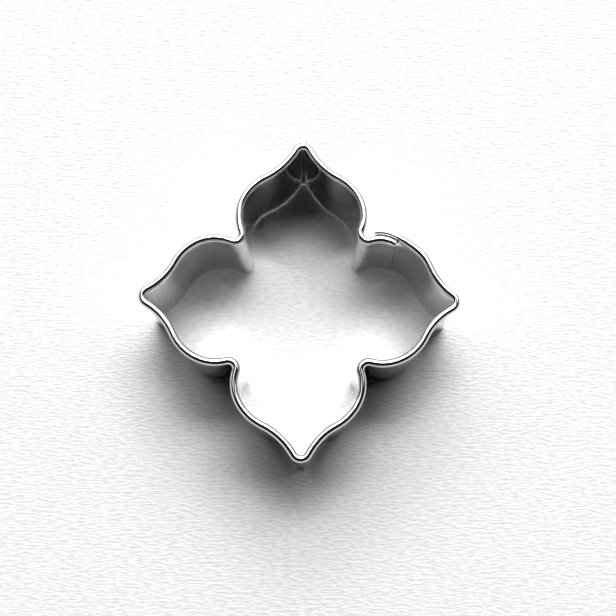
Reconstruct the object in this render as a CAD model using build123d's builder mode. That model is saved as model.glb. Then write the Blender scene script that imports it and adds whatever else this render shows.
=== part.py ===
from build123d import *

import os
from math import acos, atan2, degrees

os.makedirs("parts", exist_ok=True)

# A four petal pastry cutter, bent from one strip of stainless sheet.
# The origin is on the surface it stands on, under the middle of the ring.
# +Z runs from the bare cutting edge up to the rolled rim, and a petal points along each of X and Y.

# Sizes of the ring
cutter_span = 60.0  # over two opposite petal tips, outside the rolled rim
cutter_height = 22.0  # from the cutting edge to the top of the roll
sheet = 0.30  # thickness of the strip
roll_width = 1.50  # outside width of the curl along the upper edge
curl_gap = 0.19  # left between the end of the curl and the wall
curl_flats_outside = 8  # a few flats stand for the curl's round section, because it runs all round
curl_flats_inside = 5
petal_count = 4

# Radii that the bending tool leaves
tip_inside_radius = 0.82  # inside a petal's point
rim_notch_radius = 0.76  # outside the roll, where two petals meet
edge_notch_radius = 1.45  # outside the bare strip, where two petals meet

# Form of a petal, as shares of the wall's reach at the petal's point
belly_forward_share = 0.5513
belly_aside_share = 0.1174
belly_radius_share = 0.2739
waist_radius_share = 0.4317

# The lapped ends, on the belly of the petal that points along +X
lap_length = 4.1
lap_from_notch = 1.1  # from the notch's bend to the outer end
lap_gap = 0.06  # left between the two layers
flare_depth = 4.0  # below the roll, where the layers part to make room for it

# The welds through both layers
weld_width = 1.40
weld_dent = 0.04  # how far the electrodes sink into the sheet
weld_height_shares = (0.40, 0.80)  # of the height up to which the layers lie flat
cut_overrun = 1.0

# Sizes that follow from those above
neck_height = cutter_height - roll_width
flat_height = neck_height - flare_depth
roll_radius = roll_width / 2
wall_to_roll = roll_radius - sheet / 2
wall_reach = cutter_span / 2 - roll_width + sheet / 2
tip_radius = tip_inside_radius + sheet / 2
belly_radius = wall_reach * belly_radius_share
waist_radius = wall_reach * waist_radius_share
petal_turn = 360 / petal_count
flat_apart = sheet + lap_gap
rim_apart = roll_width + lap_gap


# The bends of the strip

def direction(start, end):
    """Degrees anticlockwise from X of the way from one point to another."""
    step = end - start
    return degrees(atan2(step.Y, step.X))


def bend_between(first, second, radius):
    """The middle of a bend on the outer side of the strip that touches two round bends."""
    first_middle, first_radius = first
    second_middle, second_radius = second
    line = second_middle - first_middle
    first_reach = first_radius + radius
    second_reach = second_radius + radius
    along = (line.length**2 + first_reach**2 - second_reach**2) / (2 * line.length)
    aside = (first_reach**2 - along**2) ** 0.5
    forward = line.normalized()
    outward = forward.rotate(Axis.Z, -90)
    return first_middle + forward * along + outward * aside


def petal_belly(petal, side, grown):
    """The round flank of a petal: side is 1 or -1, and grown moves the wall outwards."""
    middle = Vector(belly_forward_share, belly_aside_share * side) * wall_reach
    return middle.rotate(Axis.Z, petal * petal_turn), belly_radius + grown


def strip_bends(notch_radius, layers_apart):
    """Each bend of the strip's middle line, anticlockwise from the inner end: middle, radius, way."""
    inner_layer = petal_belly(0, 1, -layers_apart / 2)
    outer_layer = petal_belly(0, 1, layers_apart / 2)
    last_belly = inner_layer
    bends = [(*inner_layer, 1)]
    for petal in range(1, petal_count + 1):
        tip_middle = Vector(wall_reach - tip_radius, 0).rotate(Axis.Z, petal * petal_turn)
        tip = (tip_middle, tip_radius)
        first_belly = petal_belly(petal, -1, 0)
        second_belly = petal_belly(petal, 1, 0) if petal < petal_count else outer_layer
        bends += [
            (bend_between(last_belly, first_belly, notch_radius), notch_radius, -1),
            (*first_belly, 1),
            (bend_between(first_belly, tip, waist_radius), waist_radius, -1),
            (*tip, 1),
            (bend_between(tip, second_belly, waist_radius), waist_radius, -1),
            (*second_belly, 1),
        ]
        last_belly = second_belly
    return bends


flat_bends = strip_bends(edge_notch_radius + sheet / 2, flat_apart)
rim_bends = strip_bends(rim_notch_radius + roll_width - sheet / 2, rim_apart)

lap_middle = rim_bends[0][0]
lap_notch = rim_bends[1][0]
outer_end = direction(lap_middle, lap_notch) - degrees(lap_from_notch / belly_radius)
inner_end = outer_end - degrees(lap_length / belly_radius)


def strip_arcs(bends, moved):
    """The strip's line moved outwards: middle, radius, first direction and turn of each arc."""
    middles = [middle for middle, radius, way in bends]
    arcs = []
    for place, (middle, radius, way) in enumerate(bends):
        first = direction(middle, middles[place - 1]) if place > 0 else inner_end
        last = direction(middle, middles[place + 1]) if place < len(bends) - 1 else outer_end
        arcs.append((middle, radius + way * moved, first, way * ((last - first) * way % 360)))
    return arcs


# The curl's section, from the top of the wall over and round to its free end

curl_middle = Vector(wall_to_roll, roll_radius)
curl_turn = 180 + degrees(acos((sheet / 2 + curl_gap - wall_to_roll) / roll_radius))


def curl_points(radius, flats):
    """The corners of equal flats round the curl, X away from the wall and Y up."""
    start = Vector(-radius, 0)
    return [curl_middle + start.rotate(Axis.Z, -curl_turn * corner / flats) for corner in range(flats + 1)]


# The welds' places on the lap, looked at square to the sheet

lap_out = Vector(1, 0).rotate(Axis.Z, (inner_end + outer_end) / 2)
lap_along = lap_out.rotate(Axis.Z, 90)
weld_radius = weld_width / 2
weld_places = [(0, flat_height * share) for share in weld_height_shares]
inside_reach = belly_radius - flat_apart / 2 - sheet / 2
outside_reach = belly_radius + flat_apart / 2 + sheet / 2
hole_start = inside_reach - cut_overrun
hole_end = outside_reach + cut_overrun
nugget_start = inside_reach + weld_dent
nugget_end = (outside_reach**2 - weld_radius**2) ** 0.5 - weld_dent


# The strip: a wall that flares at the lap, and the curl along its upper edge

with BuildPart() as cutter_band:
    for height, bends in ((0, flat_bends), (flat_height, flat_bends), (neck_height, rim_bends)):
        with BuildSketch(Plane.XY.offset(height)):
            with BuildLine():
                outside = [CenterArc(*arc) for arc in strip_arcs(bends, sheet / 2)]
                inside = [CenterArc(*arc) for arc in strip_arcs(bends, -sheet / 2)]
                Line(outside[0] @ 0, inside[0] @ 0)
                Line(outside[-1] @ 1, inside[-1] @ 1)
            make_face()
    loft(ruled=True)

    with BuildLine() as rim_line:
        for middle, radius, first, turn in strip_arcs(rim_bends, 0):
            CenterArc(middle + Vector(0, 0, neck_height), radius, first, turn)
    rim_out = Vector(1, 0).rotate(Axis.Z, inner_end)
    rim_back = rim_out.rotate(Axis.Z, -90)
    with BuildSketch(Plane(rim_line.line @ 0, x_dir=rim_out, z_dir=rim_back)):
        with BuildLine():
            neck_inside = Line((-sheet / 2, 0), (-sheet / 2, roll_radius))
            curl_outside = Polyline(*curl_points(roll_radius, curl_flats_outside))
            curl_inside = Polyline(*curl_points(roll_radius - sheet, curl_flats_inside))
            neck_outside = Line((sheet / 2, roll_radius), (sheet / 2, 0))
            Line(curl_outside @ 1, curl_inside @ 1)
            Line(neck_inside @ 0, neck_outside @ 1)
        make_face()
    sweep(path=rim_line.line)

    with BuildSketch(Plane(lap_middle + lap_out * hole_start, x_dir=lap_along, z_dir=lap_out)):
        with Locations(*weld_places):
            Circle(weld_radius)
    extrude(amount=hole_end - hole_start, mode=Mode.SUBTRACT)


# The weld nuggets, a plug of fused steel through both layers at each weld

with BuildPart() as spot_welds:
    with BuildSketch(Plane(lap_middle + lap_out * nugget_start, x_dir=lap_along, z_dir=lap_out)):
        with Locations(*weld_places):
            Circle(weld_radius)
    extrude(amount=nugget_end - nugget_start)


cutter_band.part.label = "cutter_band"
spot_welds.part.label = "spot_welds"
export_step(cutter_band.part, "parts/cutter_band.step")
export_step(spot_welds.part, "parts/spot_welds.step")
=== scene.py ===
from math import acos, atan2, ceil, cos, exp, pi, radians, sin, sqrt

import bmesh
import bpy
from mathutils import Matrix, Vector


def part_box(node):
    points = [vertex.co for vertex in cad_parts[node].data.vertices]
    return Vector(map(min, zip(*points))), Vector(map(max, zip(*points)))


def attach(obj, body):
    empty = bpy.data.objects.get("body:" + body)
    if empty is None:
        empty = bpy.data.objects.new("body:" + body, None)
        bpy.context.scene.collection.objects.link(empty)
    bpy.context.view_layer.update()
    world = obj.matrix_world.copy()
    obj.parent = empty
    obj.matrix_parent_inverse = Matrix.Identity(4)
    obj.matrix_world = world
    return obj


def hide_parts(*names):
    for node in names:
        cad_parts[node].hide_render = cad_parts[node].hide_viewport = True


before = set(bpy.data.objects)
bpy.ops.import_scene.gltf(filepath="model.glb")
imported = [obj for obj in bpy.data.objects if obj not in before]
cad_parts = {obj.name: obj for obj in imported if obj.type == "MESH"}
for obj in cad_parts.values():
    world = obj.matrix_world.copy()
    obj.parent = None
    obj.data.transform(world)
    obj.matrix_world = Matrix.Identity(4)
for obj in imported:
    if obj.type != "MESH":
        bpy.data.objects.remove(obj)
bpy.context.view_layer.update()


# The strip that the whole cutter is bent from, in bright stainless sheet.
# Its upper edge is curled outwards into a hollow roll and its lower edge is left bare.
# It is bent round pins into four petals, and its two ends lap on the flank of one of them.

band_low, band_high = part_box("cutter_band")
ring_span = band_high.x - band_low.x
ring_height = band_high.z
sheet = 0.00030
roll_width = 0.00150
curl_gap = 0.00019
edge_rounding = 0.00004
petal_count = 4

tip_inside_radius = 0.00082
rim_notch_radius = 0.00076
edge_notch_radius = 0.00118
belly_forward_share = 0.5513
belly_aside_share = 0.1174
belly_radius_share = 0.2739
waist_radius_share = 0.4317

lap_length = 0.0041
lap_from_notch = 0.0011
lap_gap = 0.00006
lap_squeeze = 0.70
lap_release = 0.0025
flare_depth = 0.0014

roll_radius = roll_width / 2
wall_to_roll = roll_radius - sheet / 2
neck_height = ring_height - roll_width
flat_height = neck_height - flare_depth
wall_reach = ring_span / 2 - roll_width + sheet / 2
tip_radius = tip_inside_radius + sheet / 2
belly_radius = wall_reach * belly_radius_share
waist_radius = wall_reach * waist_radius_share
full_turn = 2 * pi
petal_turn = full_turn / petal_count


def towards(angle):
    """The level direction at an angle, anticlockwise from X."""
    return Vector((cos(angle), sin(angle), 0))


def angle_of(step):
    """The angle of a step's level direction, anticlockwise from X."""
    return atan2(step.y, step.x)


def mix(start, end, share):
    """A value or place between two others."""
    return start + (end - start) * share


def limited(share):
    """A share kept between 0 and 1."""
    return min(max(share, 0), 1)


def bend_between(first, second, radius):
    """The middle of a bend on the outer side of the strip that touches two round bends."""
    first_middle, first_radius = first
    second_middle, second_radius = second
    line = second_middle - first_middle
    first_reach = first_radius + radius
    second_reach = second_radius + radius
    along = (line.length_squared + first_reach**2 - second_reach**2) / (2 * line.length)
    aside = sqrt(first_reach**2 - along**2)
    forward = line.normalized()
    return first_middle + forward * along + Vector((forward.y, -forward.x, 0)) * aside


def petal_belly(petal, side, grown):
    """The round flank of a petal: side is 1 or -1, and grown moves the wall outwards."""
    forward = towards(petal * petal_turn)
    left = towards((petal + 1) * petal_turn)
    middle = (forward * belly_forward_share + left * belly_aside_share * side) * wall_reach
    return middle, belly_radius + grown


def strip_bends(spread, height_share):
    """Each bend of the strip's middle line from its inner end: middle, radius, way.

    The notches widen evenly with the height, and spread is how far the lapped layers have parted.
    """
    foot_notch = edge_notch_radius + sheet / 2
    rim_notch = rim_notch_radius + roll_width - sheet / 2
    notch_radius = mix(foot_notch, rim_notch, height_share)
    apart = mix(sheet, roll_width, spread) + lap_gap
    inner_layer = petal_belly(0, 1, -apart / 2)
    outer_layer = petal_belly(0, 1, apart / 2)
    last_belly = inner_layer
    bends = [(*inner_layer, 1)]
    for petal in range(1, petal_count + 1):
        tip = (towards(petal * petal_turn) * (wall_reach - tip_radius), tip_radius)
        first_belly = petal_belly(petal, -1, 0)
        second_belly = petal_belly(petal, 1, 0) if petal < petal_count else outer_layer
        bends += [
            (bend_between(last_belly, first_belly, notch_radius), notch_radius, -1),
            (*first_belly, 1),
            (bend_between(first_belly, tip, waist_radius), waist_radius, -1),
            (*tip, 1),
            (bend_between(tip, second_belly, waist_radius), waist_radius, -1),
            (*second_belly, 1),
        ]
        last_belly = second_belly
    return bends


rim_bends = strip_bends(1, 1)
outer_end = angle_of(rim_bends[1][0] - rim_bends[0][0]) - lap_from_notch / belly_radius
inner_end = outer_end - lap_length / belly_radius


def bend_turns(bends):
    """The angle at which each bend starts and how far it turns, in radians."""
    middles = [middle for middle, radius, way in bends]
    turns = []
    for place, (middle, radius, way) in enumerate(bends):
        start = angle_of(middles[place - 1] - middle) if place else inner_end
        end = angle_of(middles[place + 1] - middle) if place < len(bends) - 1 else outer_end
        turns.append((start, way * ((end - start) * way % full_turn)))
    return turns


step_turn = radians(5)
bend_steps = [ceil(abs(turn) / step_turn) for start, turn in bend_turns(strip_bends(0, 0))]
line_length = sum(bend_steps) + 1

# A spare mesh carries what is spun by itself into the piece that it belongs to.

spare_data = bpy.data.meshes.new("spare")


def add_to(mesh, part):
    """Moves the points, edges and faces of one bmesh into another."""
    part.to_mesh(spare_data)
    part.free()
    mesh.from_mesh(spare_data)


def bent_line(mesh, out, level, spread):
    """Adds a line along the strip, spun bend by bend from its inner end, and returns its edges."""
    line_mesh = bmesh.new()
    bends = strip_bends(spread, limited(level / neck_height))
    middle, radius, way = bends[0]
    vert = line_mesh.verts.new(middle + towards(inner_end) * (radius + out) + Vector((0, 0, level)))
    for (middle, radius, way), (start, turn), steps in zip(bends, bend_turns(bends), bend_steps):
        spun = bmesh.ops.spin(
            line_mesh, geom=[vert], cent=middle, axis=(0, 0, 1), angle=turn, steps=steps)
        vert = next(item for item in spun["geom_last"] if isinstance(item, bmesh.types.BMVert))
    first_edge = len(mesh.edges)
    add_to(mesh, line_mesh)
    mesh.edges.ensure_lookup_table()
    return mesh.edges[first_edge:]


def spread_at(level):
    """How far the lapped layers have parted at a level, eased in and out."""
    share = limited((level - flat_height) / flare_depth)
    return share * share * (3 - 2 * share)


# The section goes up the inner face, round the outside of the curl and back inside it, and down again.

flat_steps = 4
flare_steps = 8
curl_steps = 26
curl_turn = pi + acos((sheet / 2 + curl_gap - wall_to_roll) / roll_radius)

levels = [mix(edge_rounding, flat_height, step / flat_steps) for step in range(flat_steps)]
levels += [mix(flat_height, neck_height, step / flare_steps) for step in range(flare_steps + 1)]


def curl_section(radius, rounds):
    """Points round the curl at one radius, from the wall over and under to its free end."""
    curl_height = neck_height + roll_radius
    points = []
    for step in range(rounds + 1):
        angle = pi - curl_turn * step / rounds
        points.append((wall_to_roll + radius * cos(angle), curl_height + radius * sin(angle), 1))
    return points


section = [(-sheet / 2, level, spread_at(level)) for level in levels]
section += curl_section(roll_radius, curl_steps)
section += reversed(curl_section(roll_radius - sheet, curl_steps // 2))
section += [(sheet / 2, level, spread_at(level)) for level in reversed(levels)]
section += [(sheet / 2 - edge_rounding, 0, 0), (edge_rounding - sheet / 2, 0, 0)]

band_mesh = bmesh.new()
lines = [bent_line(band_mesh, out, level, spread) for out, level, spread in section]
for place, line in enumerate(lines):
    bmesh.ops.bridge_loops(band_mesh, edges=lines[place - 1] + line)
open_edges = [edge for edge in band_mesh.edges if edge.is_boundary]
bmesh.ops.holes_fill(band_mesh, edges=open_edges, sides=0)
bmesh.ops.recalc_face_normals(band_mesh, faces=band_mesh.faces)

# Where the ends lap, the outer end's roll is pressed flatter against the inner one.
# Past the lap the outer layer goes straight up from the foot to its roll.

lap_middle, outer_reach, way = rim_bends[-1]
outer_face = outer_reach - sheet / 2
belly_steps = bend_steps[-1]
waist_steps = bend_steps[-2]
step_length = outer_reach * bend_turns(rim_bends)[-1][1] / belly_steps
level_only = Vector((1, 1, 0))
band_mesh.verts.ensure_lookup_table()
for place, (out, level, spread) in enumerate(section):
    straight_share = limited(level / neck_height)
    for step in range(belly_steps + waist_steps):
        released = limited((step * step_length - lap_length) / lap_release)
        past_belly = max(step - belly_steps, 0) / waist_steps
        vert = band_mesh.verts[(place + 1) * line_length - 1 - step]
        outward = (vert.co - lap_middle) * level_only
        pressed = outer_face + (outward.length - outer_face) * mix(lap_squeeze, 1, released)
        opened = (straight_share - spread) * released * (1 - past_belly)
        moved = (pressed - outward.length) * spread + opened * (roll_width - sheet) / 2
        vert.co += outward.normalized() * moved

# Bent by hand round the pins, no petal is quite like the next. Each row gives a place on the ring,
# and how far the strip went there to the right and up, as seen from above.
# Tips and notches went as a whole, the leaning walls only at the foot or only at the rim.

bend_reach = 0.009
hand_bent = [
    (0.029, 0, 0.0002, -0.0003),
    (0, 0.029, 0.0004, 0.0009),
    (-0.029, 0, -0.0003, 0.0003),
    (0, -0.029, 0.0006, -0.0008),
    (0.011, 0.011, 0.0004, 0.0010),
    (-0.011, 0.011, 0.0001, 0.0001),
    (-0.011, -0.011, -0.0002, -0.0005),
    (0.011, -0.011, 0.0001, -0.0005),
]
foot_lean_reach = 0.005
foot_leans = [
    (-0.0080, 0.019, -0.0004, 0.0002),
    (-0.0105, 0.015, 0.0009, 0),
    (0.007, 0.020, -0.0005, -0.0004),
]
rim_lean_reach = 0.0036
rim_leans = [
    (0.0205, 0.0108, -0.00030, -0.00050),
    (-0.0115, 0.0115, 0.00030, -0.00055),
]

# The cutting edge stands a hair off the paper round one side of the upper petal.

foot_gap = 0.00022
foot_gap_x = -0.004
foot_gap_y = 0.021
foot_gap_reach = 0.014


def falloff(place, x, y, reach):
    """1 at a place, dying away smoothly over a reach."""
    return exp(-((place.x - x)**2 + (place.y - y)**2) / reach**2)


def pushed(place, rows, reach):
    """How far a point goes with the rows of one list."""
    moved = Vector((0, 0, 0))
    for x, y, right, up in rows:
        moved += Vector((right, up, 0)) * falloff(place, x, y, reach)
    return moved


def bend_by_hand(mesh):
    """Moves a mesh's points as the hand-bent strip went."""
    for vert in mesh.verts:
        height_share = vert.co.z / ring_height
        moved = pushed(vert.co, hand_bent, bend_reach)
        moved += pushed(vert.co, foot_leans, foot_lean_reach) * (1 - height_share)
        moved += pushed(vert.co, rim_leans, rim_lean_reach) * height_share
        if vert.co.z <= edge_rounding:
            moved.z = foot_gap * falloff(vert.co, foot_gap_x, foot_gap_y, foot_gap_reach)
        vert.co += moved


def made_piece(mesh, name):
    """Turns a finished bmesh into an object in the scene."""
    data = bpy.data.meshes.new(name)
    mesh.to_mesh(data)
    mesh.free()
    piece = bpy.data.objects.new(name, data)
    bpy.context.scene.collection.objects.link(piece)
    return piece


sharp_angle = radians(40)


def smoothed(piece):
    """Shades a piece smooth, with its sharp edges kept."""
    piece.data.shade_smooth()
    piece.data.set_sharp_from_angle(angle=sharp_angle)


bend_by_hand(band_mesh)
petal_band = made_piece(band_mesh, "petal_band")
smoothed(petal_band)

# Nearly mirror bright, with the mill's rolling lines along the strip and smudges from handling.
# Each grain is its pattern's length along X, Y and Z.

steel_tones = ((0.54, 0.54, 0.54, 1), (0.70, 0.70, 0.70, 1))
steel_roughness = (0.07, 0.13)
rolling_grain = (0.014, 0.014, 0.00022)
smudge_grain = (0.0045, 0.0045, 0.0060)
sheet_wave_grain = (0.0055, 0.0055, 0.0070)
rolling_depth = 0.0000005
sheet_wave_depth = 0.000025

noise_low = 0.3
noise_high = 0.7


def new_material(name):
    """A material and its shader."""
    material = bpy.data.materials.new(name)
    material.use_nodes = True
    return material, material.node_tree.nodes["Principled BSDF"]


def noise_on(material, grain, detail):
    """Noise on a piece's own coordinates, with its grain's lengths and its number of finer layers."""
    nodes = material.node_tree.nodes
    links = material.node_tree.links
    place = nodes.new("ShaderNodeTexCoord")
    mapping = nodes.new("ShaderNodeMapping")
    mapping.vector_type = "TEXTURE"
    mapping.inputs["Scale"].default_value = grain
    noise = nodes.new("ShaderNodeTexNoise")
    noise.inputs["Scale"].default_value = 1
    noise.inputs["Detail"].default_value = detail
    links.new(place.outputs["Object"], mapping.inputs["Vector"])
    links.new(mapping.outputs["Vector"], noise.inputs["Vector"])
    return noise.outputs["Fac"]


def between(material, value, lowest, highest):
    """The noise's usual range turned into another range."""
    node = material.node_tree.nodes.new("ShaderNodeMapRange")
    node.inputs["From Min"].default_value = noise_low
    node.inputs["From Max"].default_value = noise_high
    node.inputs["To Min"].default_value = lowest
    node.inputs["To Max"].default_value = highest
    material.node_tree.links.new(value, node.inputs["Value"])
    return node.outputs["Result"]


def blended(material, share, first, second):
    """A colour between two others, each written out or taken from another node."""
    node = material.node_tree.nodes.new("ShaderNodeMix")
    node.data_type = "RGBA"
    share_socket, first_socket, second_socket = node.inputs[0], node.inputs[6], node.inputs[7]
    material.node_tree.links.new(share, share_socket)
    for colour, socket in ((first, first_socket), (second, second_socket)):
        if isinstance(colour, tuple):
            socket.default_value = colour
        else:
            material.node_tree.links.new(colour, socket)
    return node.outputs[2]


def toned(material, value, tones):
    """A colour between two tones, by a noise."""
    return blended(material, between(material, value, 0, 1), *tones)


def relief(material, value, depth, below=None):
    """A bump of a depth in metres, laid over another one."""
    node = material.node_tree.nodes.new("ShaderNodeBump")
    node.inputs["Strength"].default_value = 1
    node.inputs["Distance"].default_value = depth
    material.node_tree.links.new(value, node.inputs["Height"])
    if below:
        material.node_tree.links.new(below, node.inputs["Normal"])
    return node.outputs["Normal"]


steel, steel_shader = new_material("bright_stainless")
steel_links = steel.node_tree.links
steel_shader.inputs["Metallic"].default_value = 1
rolling = noise_on(steel, rolling_grain, detail=3)
smudges = noise_on(steel, smudge_grain, detail=4)
waves = relief(steel, noise_on(steel, sheet_wave_grain, detail=1), sheet_wave_depth)
steel_links.new(toned(steel, smudges, steel_tones), steel_shader.inputs["Base Color"])
steel_links.new(between(steel, rolling, *steel_roughness), steel_shader.inputs["Roughness"])
steel_links.new(relief(steel, rolling, rolling_depth, waves), steel_shader.inputs["Normal"])
petal_band.data.materials.append(steel)

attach(petal_band, "root")
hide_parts("cutter_band")


# The two spot welds that hold the lapped ends together, one above the other.
# Each is a plug of fused steel through both layers, with the electrodes' shallow dent and raised ring
# on either face.

weld_radius = 0.00070
weld_height_shares = (0.40, 0.80)
weld_below_roll = 0.004
weld_dent = 0.000004
weld_ring = 0.000009
dent_radius_share = 0.55
ring_inside_share = 0.78
ring_outside_share = 0.90
weld_steps = 32
same_place = 0.000001

weld_face = sheet + lap_gap / 2
weld_top = neck_height - weld_below_roll
lap_angle = (inner_end + outer_end) / 2

half_profile = [
    (weld_dent, 0),
    (weld_dent, weld_radius * dent_radius_share),
    (weld_ring, weld_radius * ring_inside_share),
    (weld_ring, weld_radius * ring_outside_share),
    (-weld_ring, weld_radius),
]
weld_profile = [Vector((-weld_face - proud, 0, reach)) for proud, reach in half_profile]
weld_profile += [Vector((weld_face + proud, 0, reach)) for proud, reach in reversed(half_profile)]

weld_mesh = bmesh.new()
for share in weld_height_shares:
    plug = bmesh.new()
    verts = [plug.verts.new(point) for point in weld_profile]
    edges = [plug.edges.new(pair) for pair in zip(verts, verts[1:])]
    bmesh.ops.spin(
        plug, geom=verts + edges, cent=(0, 0, 0), axis=(1, 0, 0), angle=full_turn, steps=weld_steps,
        use_merge=True)
    bmesh.ops.remove_doubles(plug, verts=plug.verts, dist=same_place)
    bmesh.ops.recalc_face_normals(plug, faces=plug.faces)
    for vert in plug.verts:
        out, along, up = vert.co
        place = lap_middle + towards(lap_angle + along / belly_radius) * (belly_radius + out)
        vert.co = place + Vector((0, 0, up + weld_top * share))
    add_to(weld_mesh, plug)

bend_by_hand(weld_mesh)
lap_welds = made_piece(weld_mesh, "lap_welds")
smoothed(lap_welds)

# The welds' faces are duller than the strip, with a fine grey scorch.

weld_tones = ((0.50, 0.49, 0.48, 1), (0.62, 0.61, 0.60, 1))
weld_roughness = (0.14, 0.26)
scorch_grain = (0.0006, 0.0006, 0.0006)
scorch_depth = 0.000002

weld_steel, weld_shader = new_material("pressed_weld")
weld_links = weld_steel.node_tree.links
weld_shader.inputs["Metallic"].default_value = 1
scorch = noise_on(weld_steel, scorch_grain, detail=3)
weld_links.new(toned(weld_steel, scorch, weld_tones), weld_shader.inputs["Base Color"])
weld_links.new(between(weld_steel, scorch, *weld_roughness), weld_shader.inputs["Roughness"])
weld_links.new(relief(weld_steel, scorch, scorch_depth), weld_shader.inputs["Normal"])
lap_welds.data.materials.append(weld_steel)

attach(lap_welds, "root")
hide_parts("spot_welds")


# The sheet of white paper that the cutter stands on, laid flat and far past the picture's edges.
# Its face has the fine streaks and fibres of felt-pressed paper, which low light brings out.

paper_half_width = 1.5
paper_tones = ((0.84, 0.84, 0.84, 1), (1, 1, 1, 1))
thrown_tone = (0.7, 0.7, 0.7, 1)
paper_roughness = 0.9
streak_grain = (0.0015, 0.00048, 1)
fibre_grain = (0.0003, 0.00022, 1)
streak_depth = 0.0002
fibre_depth = 0.00002

paper_mesh = bmesh.new()
bmesh.ops.create_grid(paper_mesh, x_segments=1, y_segments=1, size=paper_half_width)
paper = made_piece(paper_mesh, "paper")

white_paper, paper_shader = new_material("white_paper")
paper_links = white_paper.node_tree.links
paper_shader.inputs["Roughness"].default_value = paper_roughness
paper_shader.inputs["Specular IOR Level"].default_value = 0
streaks = noise_on(white_paper, streak_grain, detail=2)
fibres = noise_on(white_paper, fibre_grain, detail=2)
streak_relief = relief(white_paper, streaks, streak_depth)
fibre_relief = relief(white_paper, fibres, fibre_depth, streak_relief)
paper_links.new(fibre_relief, paper_shader.inputs["Normal"])

# The paper looks white straight on and in the steel, and throws less light back up than that.

paper_path = white_paper.node_tree.nodes.new("ShaderNodeLightPath")
seen = white_paper.node_tree.nodes.new("ShaderNodeMath")
seen.operation = "MAXIMUM"
paper_links.new(paper_path.outputs["Is Camera Ray"], seen.inputs[0])
paper_links.new(paper_path.outputs["Is Glossy Ray"], seen.inputs[1])
seen_tone = toned(white_paper, streaks, paper_tones)
paper_tone = blended(white_paper, seen.outputs["Value"], thrown_tone, seen_tone)
paper_links.new(paper_tone, paper_shader.inputs["Base Color"])
paper.data.materials.append(white_paper)


# The light: soft boxes and a wide window beyond the upper petal, in a dark room.
# The steel sees the dark room above it, and the pale paper that goes on to the room's foot.

lamp_distance = 2.0
lamps = [
    # name, width and height in metres, azimuth and elevation in degrees, watts
    ("softbox_middle", 0.50, 0.50, 90, 66, 11.1),
    ("softbox_right", 0.50, 0.68, 60, 60, 11.7),
    ("softbox_left", 0.50, 0.62, 120, 62, 4.9),
    ("window_middle", 1.1, 0.7, 90, 41, 14.2),
    ("window_right", 1.0, 0.7, 50, 41, 2.7),
    ("window_left", 1.0, 0.7, 130, 41, 4.6),
    ("wall_beyond", 3.6, 0.7, 90, 20, 8.2),
    ("wall_right", 0.60, 0.50, 30, 53, 2.1),
    ("wall_left", 0.45, 0.50, 150, 67, 1.6),
]
for name, width, height, azimuth, elevation, watts in lamps:
    lamp_data = bpy.data.lights.new(name, "AREA")
    lamp_data.shape = "RECTANGLE"
    lamp_data.size = width
    lamp_data.size_y = height
    lamp_data.energy = watts
    lamp = bpy.data.objects.new(name, lamp_data)
    bpy.context.scene.collection.objects.link(lamp)
    steep = radians(elevation)
    lamp_way = towards(radians(azimuth)) * cos(steep) + Vector((0, 0, sin(steep)))
    lamp.location = lamp_way * lamp_distance
    lamp.rotation_euler = lamp_way.to_track_quat("Z", "Y").to_euler()

room = bpy.data.worlds.new("room")
bpy.context.scene.world = room
room.use_nodes = True
room_nodes = room.node_tree.nodes
room_links = room.node_tree.links
background = room_nodes["Background"]
background.inputs["Color"].default_value = (1, 1, 1, 1)


def combined(operation, first, second):
    """Two values of the room put together, each a number or taken from another node."""
    node = room_nodes.new("ShaderNodeMath")
    node.operation = operation
    for socket, value in zip(node.inputs, (first, second)):
        if isinstance(value, (int, float)):
            socket.default_value = value
        else:
            room_links.new(value, socket)
    return node.outputs["Value"]


# Far paper fills the view up to a low height over the horizon, and the dark room is above it.

paper_up_to = 0.16
room_from = 0.30
dark_room = 0.02

room_direction = room_nodes.new("ShaderNodeTexCoord")
room_axes = room_nodes.new("ShaderNodeSeparateXYZ")
far_paper = room_nodes.new("ShaderNodeMapRange")
far_paper.interpolation_type = "SMOOTHSTEP"
far_paper.inputs["From Min"].default_value = room_from
far_paper.inputs["From Max"].default_value = paper_up_to
room_links.new(room_direction.outputs["Generated"], room_axes.inputs["Vector"])
room_links.new(room_axes.outputs["Z"], far_paper.inputs["Value"])
room_tone = combined("MAXIMUM", far_paper.outputs["Result"], dark_room)

# The steel shows the room to the camera, but the room throws no light on the paper.

before_first_throw = 0.5
path = room_nodes.new("ShaderNodeLightPath")
not_thrown = combined("LESS_THAN", path.outputs["Diffuse Depth"], before_first_throw)
seen_in_steel = combined("MULTIPLY", path.outputs["Is Glossy Ray"], not_thrown)
from_steel = combined("MULTIPLY", seen_in_steel, room_tone)
strength = combined("MAXIMUM", from_steel, path.outputs["Is Camera Ray"])
room_links.new(strength, background.inputs["Strength"])


# The camera, almost straight above the ring and a little towards its lower petal.
# Its long lens keeps the walls of the ring short in the picture.

film_width = 36
lens_length = 80
nearest_seen = 0.01
farthest_seen = 10
camera_place = (0.00292, -0.05797, 0.27144)
camera_turn = (radians(12.674), radians(0.165), radians(0.558))

camera_data = bpy.data.cameras.new("camera")
camera_data.sensor_width = film_width
camera_data.lens = lens_length
camera_data.clip_start = nearest_seen
camera_data.clip_end = farthest_seen
camera = bpy.data.objects.new("camera", camera_data)
bpy.context.scene.collection.objects.link(camera)
camera.location = camera_place
camera.rotation_euler = camera_turn
bpy.context.scene.camera = camera

# The light that the steel throws on the paper keeps its sharp edges.

bpy.context.scene.view_settings.view_transform = "Standard"
bpy.context.scene.cycles.blur_glossy = 0
